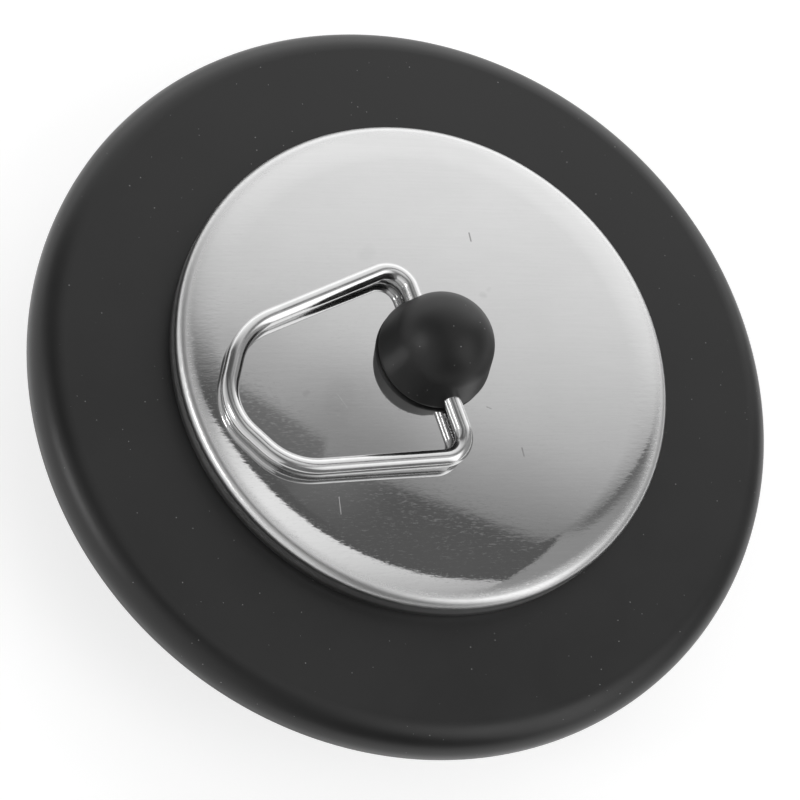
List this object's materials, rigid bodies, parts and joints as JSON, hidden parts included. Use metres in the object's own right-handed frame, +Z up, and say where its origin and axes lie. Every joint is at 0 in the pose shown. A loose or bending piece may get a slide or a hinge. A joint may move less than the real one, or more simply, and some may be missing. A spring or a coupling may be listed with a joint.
{
  "type": "drain stopper",
  "caption": "Round rubber drain stopper with a brushed steel cover, a hollow tapered spigot below, and a wire pull ring that swings in a domed rubber knob.",
  "frame": {"origin": "middle of the spigot's lower edge, on which the stopper stands", "axes": "+Z up along the disc's axis, -X towards the far end of the pull ring at rest, Y along the knob's cross hole"},
  "size_m": [0.075, 0.075, 0.0268],
  "materials": {
    "disc_rubber": "satin moulded black rubber with fine dust",
    "cover_steel": "straight fine brushed stainless steel",
    "knob_rubber": "satin moulded black rubber",
    "ring_wire": "bright polished stainless wire"
  },
  "bodies": {
    "stopper": {"sealing_disc": "disc_rubber", "cover_plate": "cover_steel", "knob": "knob_rubber"},
    "ring": {"pull_ring": "ring_wire"}
  },
  "joints": [
    {"name": "ring_swing", "type": "hinge", "parent": "stopper", "child": "ring", "pos_m": [-0.0005, 0, 0.02079], "axis": [0, 1, 0], "range_deg": [0, 183.6]}
  ]
}
